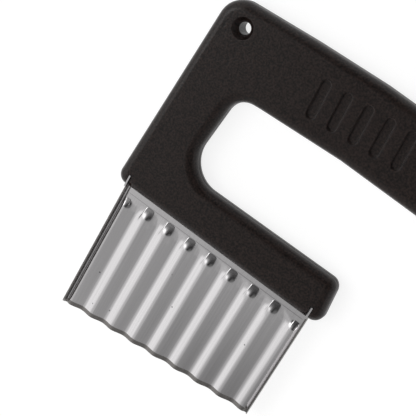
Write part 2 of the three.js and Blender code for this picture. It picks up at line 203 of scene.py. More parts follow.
class FixingSettings(bpy.types.PropertyGroup):
    """Sizes and colour of the shell screws and tang pins."""

    head_diameter: length("Head diameter", 5.6, "Diameter of a screw head")
    head_height: length("Head height", 1.7, "Height of a screw head")
    head_rounding: length("Head rounding", 0.5, "Rounding of a screw head's edge")
    head_depth: length("Head depth", 0.5, "How far a screw head lies below the rear face")
    shank_diameter: length("Shank diameter", 3.0, "Outer diameter of the thread")
    thread_depth: length("Thread depth", 0.45, "Depth of the thread")
    thread_pitch: length("Thread pitch", 1.1, "Pitch of the thread")
    tip_radius: length("Tip radius", 0.315, "Radius of the flat at a screw's tip")
    cross_width: length("Cross width", 0.85, "Width of a cross recess arm")
    cross_length: length("Cross length", 3.3, "Length of a cross recess arm")
    cross_depth: length("Cross depth", 0.9, "Depth of the cross recess")
    clearance: length("Clearance", 0.3, "Room round a screw head in its recess")
    seat_gap: length("Seat gap", 0.03, "Room under a screw head in its recess")
    recess_rim: length("Recess rim", 0.2, "Chamfer of a recess's rim")
    shade: colour("Zinc", "#a9aaab", "Colour of the zinc plating")


class StageSettings(bpy.types.PropertyGroup):
    """Camera, floor and light."""

    lens: bpy.props.FloatProperty(
        name="Lens", description="Focal length on a 36 mm sensor", default=105.44, subtype="DISTANCE_CAMERA"
    )
    sweep_radius: length("Sweep radius", 8000.0, "Radius of the round floor, out to its wall")
    sweep_height: length("Sweep height", 1800.0, "Height of the wall round the floor")
    sweep_cove: length("Sweep cove", 900.0, "Radius of the curve from the floor up into the wall")
    sweep_shade: colour("Sweep", "#f2f2f2", "Colour of the floor and its wall")
    room_level: number("Room level", 0.53, "Plain light of the room")
    spot_level: number("Spot level", 4.6, "Radiance of the soft spot at the arm side")
    fill_level: number("Fill level", 1.0, "Radiance of the overhead panel")
    fill_size: length("Fill size", 1000.0, "Width and depth of the overhead panel")
    fill_height: length("Fill height", 1000.0, "Height of the overhead panel over the floor")
    fill_to_arm: length("Fill to arm", 100.0, "How far the overhead panel hangs towards the arm")


class CutterSettings(bpy.types.PropertyGroup):
    """All settings of the cutter and its stage."""

    handle: bpy.props.PointerProperty(type=HandleSettings)
    blade: bpy.props.PointerProperty(type=BladeSettings)
    fixing: bpy.props.PointerProperty(type=FixingSettings)
    stage: bpy.props.PointerProperty(type=StageSettings)


# Shared mesh code

# Points closer together than this are one point.
SAME_PLACE = 0.001 * MM

# A block that cuts a recess starts this far outside the face.
CUT_PAST = 1.0 * MM

# Flat steps in each rounded quarter turn, and sides of the round floor.
EDGE_STEPS = 9
GROOVE_STEPS = 4
DISH_STEPS = 5
LEDGE_STEPS = 6
HEAD_STEPS = 5
COVE_STEPS = 12
SWEEP_SIDES = 96


def rounded_outline(corners, arc_step=math.radians(5), run_step=4 * MM):
    """A closed outline from corners (x, y, radius), counter-clockwise, as points with outward normals."""
    arcs = []
    for index, (x, y, radius) in enumerate(corners):
        corner = Vector((x, y))
        before = Vector(corners[index - 1][:2])
        after = Vector(corners[(index + 1) % len(corners)][:2])
        incoming = (corner - before).normalized()
        outgoing = (after - corner).normalized()
        turn = math.atan2(incoming.cross(outgoing), incoming.dot(outgoing))
        start = corner - incoming * radius * math.tan(abs(turn) / 2)
        side = math.copysign(1, turn)
        right = Vector((incoming.y, -incoming.x))
        centre = start - right * radius * side
        steps = max(2, math.ceil(abs(turn) / arc_step))
        arc = []
        for step in range(steps + 1):
            normal = Matrix.Rotation(turn * step / steps, 2) @ right
            arc.append((centre + normal * radius * side, normal))
        arcs.append(arc)
    outline = []
    for index, arc in enumerate(arcs):
        outline.extend(arc)
        (start, normal), (end, _) = arc[-1], arcs[(index + 1) % len(arcs)][0]
        if (end - start).length < SAME_PLACE:
            outline.pop()
        pieces = int((end - start).length / run_step)
        for piece in range(1, pieces):
            outline.append((start.lerp(end, piece / pieces), normal))
    return outline


def circle_outline(x, y, radius, sides=40):
    """A circle as points with outward normals."""
    outline = []
    for side in range(sides):
        turn = 2 * math.pi * side / sides
        normal = Vector((math.cos(turn), math.sin(turn)))
        outline.append((Vector((x, y)) + normal * radius, normal))
    return outline


def stack_rings(mesh, outline, profile):
    """Rings of an outline, one for each (offset, z) of a profile, joined by faces. Returns the rings."""
    rings = []
    for offset, z in profile:
        ring = [mesh.verts.new((*(point + normal * offset), z)) for point, normal in outline]
        if rings:
            below = rings[-1]
            for index in range(len(ring)):
                after = (index + 1) % len(ring)
                mesh.faces.new((below[index], below[after], ring[after], ring[index]))
        rings.append(ring)
    return rings


def fill_between(mesh, loops):
    """Fill a flat face bounded by one outer ring, with the other rings as holes in it."""
    edges = []
    for loop in loops:
        for index, vert in enumerate(loop):
            edges.append(mesh.edges.get((vert, loop[index - 1])))
    # The fill needs sizes near one, so it is done in millimetres.
    verts = [vert for loop in loops for vert in loop]
    bmesh.ops.scale(mesh, vec=(1 / MM, 1 / MM, 1 / MM), verts=verts)
    filled = bmesh.ops.triangle_fill(mesh, edges=edges, use_beauty=True)["geom"]
    bmesh.ops.scale(mesh, vec=(MM, MM, MM), verts=verts)
    if not filled:
        raise RuntimeError("A face could not be filled")


def quarter_turn(steps):
    """Sine and cosine pairs over a quarter turn."""
    turns = [math.pi / 2 * step / steps for step in range(steps + 1)]
    return [(math.sin(turn), math.cos(turn)) for turn in turns]


def turned_rings(mesh, profile, x, y, sides=40):
    """A turned solid about an axis along Z from (radius, z) points, closed by a flat face at each end."""
    rings = stack_rings(mesh, circle_outline(x, y, 0.0, sides), profile)
    fill_between(mesh, [rings[0]])
    fill_between(mesh, [rings[-1]])


def add_object(name, data):
    """A new object in the scene."""
    item = bpy.data.objects.new(name, data)
    bpy.context.scene.collection.objects.link(item)
    return item


def new_piece(name, mesh, sharp_degrees=30):
    """A smooth-shaded object from a bmesh in plan sizes, with its faces turned outward."""
    bmesh.ops.recalc_face_normals(mesh, faces=mesh.faces)
    data = bpy.data.meshes.new(name)
    mesh.to_mesh(data)
    mesh.free()
    data.transform(Matrix.Translation(PLAN_ORIGIN))
    piece = add_object(name, data)
    finish_shading(piece, sharp_degrees)
    return piece


def finish_shading(piece, sharp_degrees):
    """Smooth faces, sharp edges over an angle and between materials, and normals of the large flat faces."""
    piece.data.shade_smooth()
    piece.data.set_sharp_from_angle(angle=math.radians(sharp_degrees))
    first_material = {}
    for polygon in piece.data.polygons:
        for loop in polygon.loop_indices:
            edge = piece.data.loops[loop].edge_index
            if first_material.setdefault(edge, polygon.material_index) != polygon.material_index:
                piece.data.edges[edge].use_edge_sharp = True
    if "Weighted normals" not in piece.modifiers:
        weighted = piece.modifiers.new("Weighted normals", "WEIGHTED_NORMAL")
        weighted.keep_sharp = True


def block_mesh(low, high):
    """A closed block between two corners, in plan sizes."""
    mesh = bmesh.new()
    bmesh.ops.create_cube(mesh, size=1)
    low, high = Vector(low), Vector(high)
    bmesh.ops.scale(mesh, vec=high - low, verts=mesh.verts)
    bmesh.ops.translate(mesh, vec=(low + high) / 2, verts=mesh.verts)
    return mesh


def combine(piece, meshes, operation, sharp_degrees=30):
    """Cut closed bmeshes out of a piece, or join them to it, and keep the result as its own mesh."""
    for mesh in meshes:
        tool = new_piece("tool", mesh)
        boolean = piece.modifiers.new("Combine", "BOOLEAN")
        boolean.operation = operation
        boolean.solver = "EXACT"
        boolean.object = tool
        piece.modifiers.move(len(piece.modifiers) - 1, 0)
        weighted = piece.modifiers["Weighted normals"]
        weighted.show_viewport = False
        evaluated = piece.evaluated_get(bpy.context.evaluated_depsgraph_get())
        result = bpy.data.meshes.new_from_object(evaluated)
        weighted.show_viewport = True
        piece.modifiers.remove(boolean)
        old = piece.data
        result.name = old.name
        piece.data = result
        bpy.data.meshes.remove(old)
        tool_data = tool.data
        bpy.data.objects.remove(tool)
        bpy.data.meshes.remove(tool_data)
    if not piece.data.polygons:
        raise RuntimeError(f"Nothing is left of {piece.name} after combining it")
    finish_shading(piece, sharp_degrees)


def dress(piece, material, node):
    """Give a piece its material and its body, and hide the imported node that it stands for."""
    piece.data.materials.append(material)
    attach(piece, "root")
    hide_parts(node)


# Materials


def add_node(tree, kind, options=None, inputs=None):
    """Add a shader node, set its options, and set its inputs or link them to other nodes' outputs."""
    node = tree.nodes.new(kind)
    for option, value in (options or {}).items():
        setattr(node, option, value)
    for socket, value in (inputs or {}).items():
        if isinstance(value, bpy.types.NodeSocket):
            tree.links.new(value, node.inputs[socket])
        else:
            node.inputs[socket].default_value = value
    return node


def math_node(tree, operation, one, two=0.0):
    """The value of a math node."""
    return add_node(tree, "ShaderNodeMath", {"operation": operation}, {0: one, 1: two}).outputs["Value"]


def map_range(tree, value, from_span=(0.0, 1.0), to_span=(0.0, 1.0), kind="LINEAR"):
    """A value mapped from one span onto another, and held at its ends."""
    spans = dict(zip(("From Min", "From Max", "To Min", "To Max"), (*from_span, *to_span)))
    node = add_node(tree, "ShaderNodeMapRange", {"interpolation_type": kind}, {"Value": value, **spans})
    return node.outputs["Result"]


def noise(tree, place, size_mm, detail):
    """A cloudy pattern whose features are this many millimetres wide."""
    inputs = {"Vector": place, "Scale": 1 / (size_mm * MM), "Detail": detail}
    return add_node(tree, "ShaderNodeTexNoise", inputs=inputs).outputs[0]


def drawn_out(tree, place, share):
    """Places that draw a pattern out along Y: its features become longer by one over the share."""
    inputs = {"Vector": place, "Scale": (1.0, share, 1.0)}
    return add_node(tree, "ShaderNodeMapping", inputs=inputs).outputs["Vector"]


def mix(tree, share, one, two):
    """A colour that turns from one into another with a share."""
    inputs = {"Factor": share, "A": one, "B": two}
    return add_node(tree, "ShaderNodeMix", {"data_type": "RGBA"}, inputs).outputs["Result"]


def toned(shade, factor=1.0):
    """A shader colour from a shade made darker or lighter."""
    return [min(1.0, channel * factor) for channel in shade] + [1.0]


def new_material(name):
    """An empty node material. Returns it, its tree, and places on the object in metres."""
    material = bpy.data.materials.new(name)
    material.use_nodes = True
    tree = material.node_tree
    tree.nodes.clear()
    return material, tree, add_node(tree, "ShaderNodeTexCoord").outputs["Object"]


def surface(tree, shader):
    """Send a shader to the material's output."""
    add_node(tree, "ShaderNodeOutputMaterial", inputs={"Surface": shader.outputs[0]})


def plain_surface(tree, base, rough, relief, others):
    """A surface from colour, roughness, relief (height, strength, depth in millimetres) and other inputs."""
    height, strength, depth_mm = relief
    bump = {"Height": height, "Strength": strength, "Distance": depth_mm * MM}
    normal = add_node(tree, "ShaderNodeBump", inputs=bump).outputs["Normal"]
    inputs = {"Base Color": base, "Roughness": rough, "Normal": normal, **others}
    surface(tree, add_node(tree, "ShaderNodeBsdfPrincipled", inputs=inputs))


def moulded_polypropylene(shade):
    """Black polypropylene from a spark-eroded mould: matte, finely pebbled, with convex edges made greyer by
    a painted highlight.
    """
    material, tree, place = new_material("moulded_polypropylene")
    # The mould's pebble is about 0.25 mm. It is drawn at 0.8 mm so that it shows at this image size.
    pebble = noise(tree, place, 0.8, 3.0)
    cloud = noise(tree, place, 18, 2.0)
    corner = add_node(tree, "ShaderNodeNewGeometry").outputs["Pointiness"]
    # Painted highlight: convex edges and groove rims are made lighter, as if they catch the light.
    edge_highlight = map_range(tree, corner, (0.51, 0.56), (0.0, 0.35))
    tone = map_range(tree, pebble, (0.36, 0.64))
    mottled = mix(tree, tone, toned(shade, 0.25), toned(shade, 2.4))
    base = mix(tree, edge_highlight, mottled, toned(shade, 2.6))
    rough = map_range(tree, cloud, to_span=(0.27, 0.37))
    plain_surface(tree, base, rough, (pebble, 0.7, 0.15), {"IOR": 1.49, "Specular IOR Level": 0.29})
    return material


def rolled_stainless(shade):
    """Bright rolled stainless sheet: long faint roll lines, small pits, soft clear reflections."""
    material, tree, place = new_material("rolled_stainless")
    # Roll lines run up the blade, about 0.6 mm apart and 40 mm long.
    lines = noise(tree, drawn_out(tree, place, 0.015), 0.6, 4.0)
    cloud = noise(tree, place, 9, 3.0)
    # Pits up to 1 mm across, where the middle of a cell of a 7 mm pattern lies in the sheet.
    cells = add_node(tree, "ShaderNodeTexVoronoi", inputs={"Vector": place, "Scale": 1 / (7 * MM)}).outputs
    small = map_range(tree, cells["Distance"], (0.03, 0.08), (1.0, 0.0))
    lot = add_node(tree, "ShaderNodeSeparateColor", inputs={"Color": cells["Color"]}).outputs["Red"]
    pits = math_node(tree, "MULTIPLY", small, math_node(tree, "GREATER_THAN", lot, 0.4))
    streaked = mix(tree, lines, toned(shade, 0.86), toned(shade, 1.06))
    base = mix(tree, pits, streaked, toned(shade, 0.16))
    rough = map_range(tree, cloud, to_span=(0.09, 0.16))
    plain_surface(tree, base, rough, (lines, 0.06, 0.02), {"Metallic": 1.0})
    return material


def ground_and_shaded_stainless(shade):
    """Stainless dulled by the grinding wheel: short scratches, darker than the sheet. Where it covers the
    flanges and their rims, the darkness is painted shade.
    """
    material, tree, place = new_material("ground_and_shaded_stainless")
    # Scratches run up from the edge, about 0.25 mm apart and 4 mm long.
    scratches = noise(tree, drawn_out(tree, place, 0.06), 0.25, 3.0)
    base = mix(tree, scratches, toned(shade, 0.7), toned(shade, 1.25))
    rough = map_range(tree, scratches, to_span=(0.32, 0.5))
    plain_surface(tree, base, rough, (scratches, 0.2, 0.03), {"Metallic": 1.0})
    return material


def zinc_plated_steel(shade):
    """Barrel-plated zinc on steel: a cloudy pale grey, smooth, with a soft shine."""
    material, tree, place = new_material("zinc_plated_steel")
    cloud = noise(tree, place, 0.9, 3.0)
    base = mix(tree, cloud, toned(shade, 0.75), toned(shade))
    rough = map_range(tree, cloud, to_span=(0.25, 0.42))
    plain_surface(tree, base, rough, (cloud, 0.1, 0.02), {"Metallic": 1.0})
    return material


def white_sweep(shade):
    """Matt white paper: seen as white by the camera and in metal, with the object's shadow kept faint."""
    material, tree, _ = new_material("white_sweep")
    rays = add_node(tree, "ShaderNodeLightPath").outputs
    seen = math_node(tree, "MAXIMUM", rays["Is Camera Ray"], rays["Is Glossy Ray"])
    seen = math_node(tree, "MAXIMUM", seen, rays["Is Transmission Ray"])
    paper = add_node(tree, "ShaderNodeBsdfDiffuse", inputs={"Color": toned(shade)})
    # What is seen is mostly its own white, and the rest takes the light and the shadow.
    own_white, lit_share = 0.82, 0.25
    lit = add_node(tree, "ShaderNodeBsdfDiffuse", inputs={"Color": toned([lit_share] * 3)})
    glow = add_node(tree, "ShaderNodeEmission", inputs={"Color": toned([1.0] * 3), "Strength": own_white})
    white = add_node(tree, "ShaderNodeAddShader", inputs={0: lit.outputs[0], 1: glow.outputs[0]})
    sides = {"Fac": seen, 1: paper.outputs[0], 2: white.outputs[0]}
    surface(tree, add_node(tree, "ShaderNodeMixShader", inputs=sides))
    return material


def black_gauze(clear_corner, thick_corner, thickness):
    """A photographer's black gauze: clear at one corner, and thicker towards the other."""
    material, tree, place = new_material("black_gauze")
    parts = add_node(tree, "ShaderNodeSeparateXYZ", inputs={"Vector": place}).outputs
    across = map_range(tree, parts["X"], (clear_corner.x, thick_corner.x), kind="SMOOTHSTEP")
    along = map_range(tree, parts["Y"], (clear_corner.y, thick_corner.y), kind="SMOOTHSTEP")
    share = math_node(tree, "MULTIPLY", math_node(tree, "MULTIPLY", across, along), thickness)
    open_mesh = add_node(tree, "ShaderNodeBsdfTransparent")
    thread = add_node(tree, "ShaderNodeBsdfDiffuse", inputs={"Color": [0.0, 0.0, 0.0, 1.0]})
    sides = {"Fac": share, 1: open_mesh.outputs[0], 2: thread.outputs[0]}
    surface(tree, add_node(tree, "ShaderNodeMixShader", inputs=sides))
    return material


# Handle


class HandlePlan:
    """The handle's main places, worked out from its sizes and the blade's."""

    def __init__(self, handle, blade):
        self.handle = handle
        self.half = SHELL_DEPTH
        self.low_grip = handle.bar_height + handle.gap_height
        self.top_grip = self.low_grip + handle.grip_height
        self.arm_foot = -blade.width / 2 - handle.arm_overhang
        self.bar_end = blade.width / 2 + handle.open_overhang
        self.grip_end = self.bar_end + handle.grip_reach
        self.gap_foot = self.arm_edge(handle.bar_height) + handle.arm_width_foot
        self.gap_head = self.arm_edge(self.low_grip) + handle.arm_width_head
        self.grip_middle = (self.gap_head + self.grip_end) / 2
        hole_y = self.top_grip - handle.hole_from_top
        self.hole = Vector((self.arm_edge(hole_y) + handle.hole_from_edge, hole_y))
        groove_y = (self.low_grip + self.top_grip) / 2 + handle.grip_crown - handle.groove_drop
        self.groove_middle = Vector((self.grip_middle, groove_y))

    def arm_edge(self, y):
        """The arm's outer edge at a height."""
        return self.arm_foot + y * math.tan(self.handle.arm_lean)

    def outline(self):
        """The handle's outline, counter-clockwise from the arm's foot."""
        handle = self.handle
        lobe = handle.edge_radius + handle.lobe_nose
        crown_low = self.low_grip + handle.grip_crown
        crown_top = self.top_grip + handle.grip_crown
        return rounded_outline(
            [
                (self.arm_foot, -handle.bar_lip, lobe),
                (self.bar_end, -handle.bar_lip - handle.bar_toe_drop, lobe),
                (self.bar_end - handle.bar_end_draft, handle.bar_height, lobe),
                (self.gap_foot, handle.bar_height, handle.gap_foot_radius),
                (self.gap_head, self.low_grip, handle.gap_head_radius),
                (self.grip_middle, crown_low, handle.crown_radius),
                (self.grip_end, self.low_grip, handle.grip_end_radius),
                (self.grip_end, self.top_grip, handle.grip_end_radius),
                (self.grip_middle, crown_top, handle.crown_radius),
                (self.arm_edge(self.top_grip), self.top_grip, handle.head_corner_radius),
            ]
        )

    def groove_outlines(self):
        """The outlines of the row of round-ended grip grooves."""
        handle = self.handle
        half_width = handle.groove_width / 2
        half_length = handle.groove_length / 2
        slot = rounded_outline(
            [
                (-half_width, -half_length, half_width),
                (half_width, -half_length, half_width),
                (half_width, half_length, half_width),
                (-half_width, half_length, half_width),
            ],
            arc_step=math.radians(9),
        )
        turn = Matrix.Rotation(handle.groove_slope, 2)
        outlines = []
        for index in range(handle.groove_count):
            along = Vector(((index - (handle.groove_count - 1) / 2) * handle.groove_pitch, 0.0))
            outlines.append(
                [(turn @ (point + along) + self.groove_middle, turn @ normal) for point, normal in slot]
            )
        return outlines


def sink_groove(mesh, handle, outline, face_z):
    """A grip groove below a face: rounded rim, wall, rounded floor. Returns the ring in the face."""
    rim = handle.groove_rim
    root = handle.groove_depth - rim
    floor = face_z - handle.groove_depth
    profile = [(rim * (1 - s), face_z - rim * (1 - c)) for s, c in quarter_turn(GROOVE_STEPS)]
    profile += [(-root * (1 - c), floor + root * (1 - s)) for s, c in quarter_turn(GROOVE_STEPS)[1:]]
    rings = stack_rings(mesh, outline, profile)
    fill_between(mesh, [rings[-1]])
    return rings[0]


def dished_hole(plan):
    """The front half of the hanging hole, as place, radius and profile: cone, rounded ledge, then bore."""
    handle = plan.handle
    rim = handle.dish_rim
    dish = handle.dish_radius - handle.bore_radius
    ledge = handle.ledge_radius - handle.bore_radius
    ledge_z = plan.half - handle.dish_depth
    drop = handle.ledge_depth
    profile = [(dish + rim * (1 - s), plan.half - rim * (1 - c)) for s, c in quarter_turn(DISH_STEPS)]
    profile += [(ledge * (1 - s), ledge_z - drop * (1 - c)) for s, c in quarter_turn(LEDGE_STEPS)]
    return plan.hole, handle.bore_radius, profile


def chamfered_hole(plan):
    """The rear half of the hanging hole, as place, radius and profile: chamfer, then bore."""
    chamfer = plan.handle.rear_chamfer
    return plan.hole, plan.handle.bore_radius, [(chamfer, plan.half), (0.0, plan.half - chamfer)]


def screw_hole(plan, fixing, node):
    """A screw's hole in the rear half, as place, radius and profile: recess for the head, then shank."""
    shank = fixing.shank_diameter / 2 + fixing.clearance
    recess = fixing.head_diameter / 2 + fixing.clearance - shank
    seat_z = plan.half - fixing.head_depth - fixing.head_height - fixing.seat_gap
    rim = fixing.recess_rim
    profile = [(recess + rim, plan.half), (recess, plan.half - rim), (recess, seat_z), (0.0, seat_z)]
    return (middle_of(node) - PLAN_ORIGIN).xy, shank, profile


def shell_mesh(plan, holes):
    """Half of the handle from the parting plane up to its face, with its grip grooves and round holes."""
    handle = plan.handle
    edge = handle.edge_radius
    wall_z = plan.half - edge
    profile = [(-handle.seam, handle.seam_gap), (0.0, handle.seam_gap + handle.seam), (0.0, wall_z)]
    profile += [(-edge * (1 - c), wall_z + edge * s) for s, c in quarter_turn(EDGE_STEPS)[1:]]
    mesh = bmesh.new()
    outside = stack_rings(mesh, plan.outline(), profile)
    seam_loops, face_loops = [outside[0]], [outside[-1]]
    for place, radius, hole_profile in holes:
        rings = stack_rings(mesh, circle_outline(*place, radius), [*hole_profile, (0.0, handle.seam_gap)])
        face_loops.append(rings[0])
        seam_loops.append(rings[-1])
    for outline in plan.groove_outlines():
        face_loops.append(sink_groove(mesh, handle, outline, plan.half))
    fill_between(mesh, face_loops)
    fill_between(mesh, seam_loops)
    return mesh


def blade_room(blade, half):
    """The slots for the sheet and the tang between the shells, and a slit in the front for each flange."""
    room = blade.width / 2 + blade.fit
    inside = blade.width / 2 - blade.sheet / 2 - blade.bend_radius - blade.fit
    tang = blade.width / 2 - blade.tang_inset + blade.fit
    past = 2 * half
    slot = blade.sheet / 2 + blade.face_fit
    flange_top = blade.flange_in_bar + blade.fit
    slots = [
        ((-room, -past, -slot), (room, flange_top, slot)),
        ((-tang, 0.0, -slot), (tang, blade.tang_height + blade.fit, slot)),
    ]
    slits = [
        ((-room, -past, -slot), (-inside, flange_top, past)),
        ((inside, -past, -slot), (room, flange_top, past)),
    ]
    return slots, slits


class CUTTER_OT_handle(bpy.types.Operator):
    """Build the front and rear shells of the handle"""

    bl_idname = "cutter.handle"
    bl_label = "Handle shells"

    def execute(self, context):
        settings = context.scene.crinkle_cutter
        plan = HandlePlan(settings.handle, settings.blade)
        slots, slits = blade_room(settings.blade, plan.half)
        plastic = moulded_polypropylene(settings.handle.shade)

        front = new_piece("handle_front", shell_mesh(plan, [dished_hole(plan)]))
        combine(front, [block_mesh(*corners) for corners in slots + slits], "DIFFERENCE")
        dress(front, plastic, "front_shell")

        # The rear half is made face up as the front is, and turned over.
        screw_holes = [screw_hole(plan, settings.fixing, node) for node in SCREW_NODES]
        mesh = shell_mesh(plan, [chamfered_hole(plan), *screw_holes])
        bmesh.ops.scale(mesh, vec=(1, 1, -1), verts=mesh.verts)
        rear = new_piece("handle_rear", mesh)
        combine(rear, [block_mesh(*corners) for corners in slots], "DIFFERENCE")
        dress(rear, plastic, "rear_shell")
        return {"FINISHED"}


# Blade

# The places of the rolled stainless, and of the ground stainless that also paints shade on the flanges and
# rims, in the blade's list of materials.
BRIGHT, GROUND_AND_SHADED = 0, 1


def smoothstep(value, low, high):
    """A smooth rise from 0 at low to 1 at high."""
    share = min(max((value - low) / (high - low), 0.0), 1.0)
    return share * share * (3 - 2 * share)


def rounded_lower(a, b, blend):
    """The lower of two heights, rounded over a blend where they meet."""
    overlap = max(blend - abs(a - b), 0.0)
    return min(a, b) - overlap * overlap / (4 * blend)


class BladePlan:
    """The blade's middle surface: columns across it, and heights of its strip, face and ridges."""

    BEND_STEPS = 8
    FLANGE_STEPS = 4

    # The last ridge's own sizes set in between these shares of a pitch inside its crest.
    END_FROM = 0.8
    END_TO = 0.3

    # The rounding at the foot of a ridge's end grows from its least size, over a few times its full size.
    LEAST_FOOT = 0.01 * MM
    FOOT_GROWTH = 5

    # Columns stand closest from just inside the wall of a ridge's end to just outside it.
    INSIDE_WALL = 0.15 * MM
    OUTSIDE_WALL = 0.55 * MM
    CREST_SPACING = 0.35 * MM
    WALL_SPACING = 0.07 * MM
    FOOT_SPACING = 0.15 * MM
    FLANK_SPACING = 0.3 * MM
    BEND_MARGIN = 0.05 * MM

    # Rows slant with the cutting edge up to a heel just above the bevel, climb from there to the first
    # level row, and stand closest from a little below the crease to just above it.
    HEEL = 0.25 * MM
    CLIMBING_ROWS = 16
    FIRST_LEVEL = -20 * MM
    BELOW_CREASE = 0.6 * MM
    FACE_SPACING = 0.7 * MM
    RAMP_SPACING = 0.22 * MM
    CREASE_SPACING = 0.1 * MM
    STRIP_SPACING = 0.6 * MM
    TAB_FOOT_SPACING = 0.15 * MM
    TAB_SPACING = 1.2 * MM

    def __init__(self, blade):
        self.blade = blade
        self.sheet_half = blade.width / 2 - blade.sheet / 2
        self.flat_half = self.sheet_half - blade.bend_radius
        self.crease = -blade.strip_height
        self.last_crest = int(self.flat_half / blade.ridge_pitch) * blade.ridge_pitch

    def cutting_edge(self, x):
        """The cutting edge's place at x, between its reach at the arm and at the open side."""
        blade = self.blade
        share = (x + blade.width / 2) / blade.width
        return -(blade.reach_arm + (blade.reach_open - blade.reach_arm) * share)

    def at_end(self, x):
        """How far a place belongs to the last ridge at its side, from 0 to 1."""
        pitch = self.blade.ridge_pitch
        inside = self.last_crest - self.END_FROM * pitch
        outside = self.last_crest - self.END_TO * pitch
        return smoothstep(abs(x), inside, outside)

    def ridge(self, x, y):
        """Height of the sheet at a place: flat strip, square-cut ridge ends, then full waves."""
        blade = self.blade
        pitch = blade.ridge_pitch
        at_end = self.at_end(x)
        fade = smoothstep(self.flat_half - abs(x), 0.0, blade.ridge_fade)
        below = self.crease - y
        step = blade.crease_step * smoothstep(below, -blade.crease_width, 0.0)
        below = (below - blade.end_drop * at_end) * (1 + blade.end_shortening * at_end)
        if below <= 0.0:
            return fade * step
        full = blade.ridge_height / 2
        wave = full * math.cos(2 * math.pi * x / pitch)
        grown = wave * smoothstep(below, 0.0, blade.flank_length)
        ramp = min(full * below / blade.ramp_length, full)
        from_crest = abs((x + pitch / 2) % pitch - pitch / 2)
        above_straight = max(1 - below / blade.nose_corner, 0.0)
        half_width = blade.nose_half_width * math.sqrt(1 - above_straight**2) + blade.nose_spread * below
        half_width *= 1 - blade.end_narrowing * at_end
        arch = full * (1 - (from_crest / half_width) ** blade.nose_squareness)
        nose = rounded_lower(ramp, arch, blade.nose_rounding)
        foot_share = smoothstep(below, 0.0, self.FOOT_GROWTH * blade.nose_foot)
        end = -rounded_lower(-grown, -nose, self.LEAST_FOOT + blade.nose_foot * foot_share)
        merged = end + (wave - end) * smoothstep(below, blade.merge_start, blade.merge_end)
        return fade * (merged + step)

    def flange_depth(self, y):
        """How far the flanges stand forward: more where they enter the bar."""
        blade = self.blade
        tab_foot = -blade.tab_below_bar
        widened = smoothstep(y, tab_foot, tab_foot + blade.tab_ease)
        return blade.flange_depth + (blade.tab_depth - blade.flange_depth) * widened

    def columns(self):
        """Columns (x, lift, flange share) from the arm's flange to the open side's flange."""
        blade = self.blade
        shares = [1 - step / self.FLANGE_STEPS for step in range(self.FLANGE_STEPS)]
        side = [(self.sheet_half, blade.bend_radius, share) for share in shares]
        for s, c in quarter_turn(self.BEND_STEPS):
            side.append((self.sheet_half - blade.bend_radius * (1 - c), blade.bend_radius * (1 - s), 0.0))
        middle = [(x, 0.0, 0.0) for x in self.face_columns()]
        return [(-x, lift, share) for x, lift, share in side] + middle + side[::-1]

    def face_columns(self):
        """Places across the face, ridge by ridge."""
        pitch = self.blade.ridge_pitch
        crests = math.ceil(self.blade.width / 2 / pitch)
        places = []
        for crest in range(-crests, crests + 1):
            middle = crest * pitch
            steps = self.ridge_steps(self.at_end(middle))
            places += [middle - step for step in reversed(steps[:-1])]
            places += [middle] + [middle + step for step in steps]
        return [x for x in places if abs(x) < self.flat_half - self.BEND_MARGIN]

    def ridge_steps(self, at_end):
        """Steps from a crest out to the valley, close together where the wall of the ridge's end stands."""
        blade = self.blade
        wall = blade.nose_half_width * (1 - blade.end_narrowing * at_end)
        inside = wall - self.INSIDE_WALL
        outside = wall + self.OUTSIDE_WALL
        spans = [
            (inside, self.CREST_SPACING),
            (outside, self.WALL_SPACING),
            (2 * outside - inside, self.FOOT_SPACING),
            (blade.ridge_pitch / 2, self.FLANK_SPACING),
        ]
        return self.graded_steps(0.0, spans)

    def rows(self):
        """Rows from the cutting edge up, each as (level or none, height over the edge, share climbed)."""
        blade = self.blade
        grind = blade.grind_height
        heel = grind + self.HEEL
        tab_foot = -blade.tab_below_bar
        spans = [
            (self.crease - blade.merge_end, self.FACE_SPACING),
            (self.crease - self.BELOW_CREASE, self.RAMP_SPACING),
            (self.crease + blade.crease_width, self.CREASE_SPACING),
            (tab_foot, self.STRIP_SPACING),
            (tab_foot + blade.tab_ease, self.TAB_FOOT_SPACING),
            (blade.flange_in_bar, self.TAB_SPACING),
        ]
        rows = [(None, height, 0.0) for height in (0.0, grind / 2, grind, heel)]
        for step in range(1, self.CLIMBING_ROWS + 1):
            rows.append((self.FIRST_LEVEL, heel, step / self.CLIMBING_ROWS))
        return rows + [(y, 0.0, 1.0) for y in self.graded_steps(self.FIRST_LEVEL, spans)]

    @staticmethod
    def graded_steps(start, spans):
        """Steps up from a start through spans of (end, spacing), evenly spaced within each span."""
        steps = []
        for end, spacing in spans:
            count = math.ceil((end - start) / spacing)
            steps += [start + (end - start) * step / count for step in range(1, count + 1)]
            start = end
        return steps

    def point(self, column, row):
        """The middle surface's point at a column and a row."""
        x, lift, share = column
        y, height, climb = row
        if climb < 1.0:
            foot = self.cutting_edge(x) + self.blade.flange_foot_rise * share + height
            y = foot if y is None else foot + (y - foot) * climb
        z = lift + share * (self.flange_depth(y) - lift)
        if abs(x) < self.flat_half:
            z += self.ridge(x, y)
        return Vector((x, y, z))


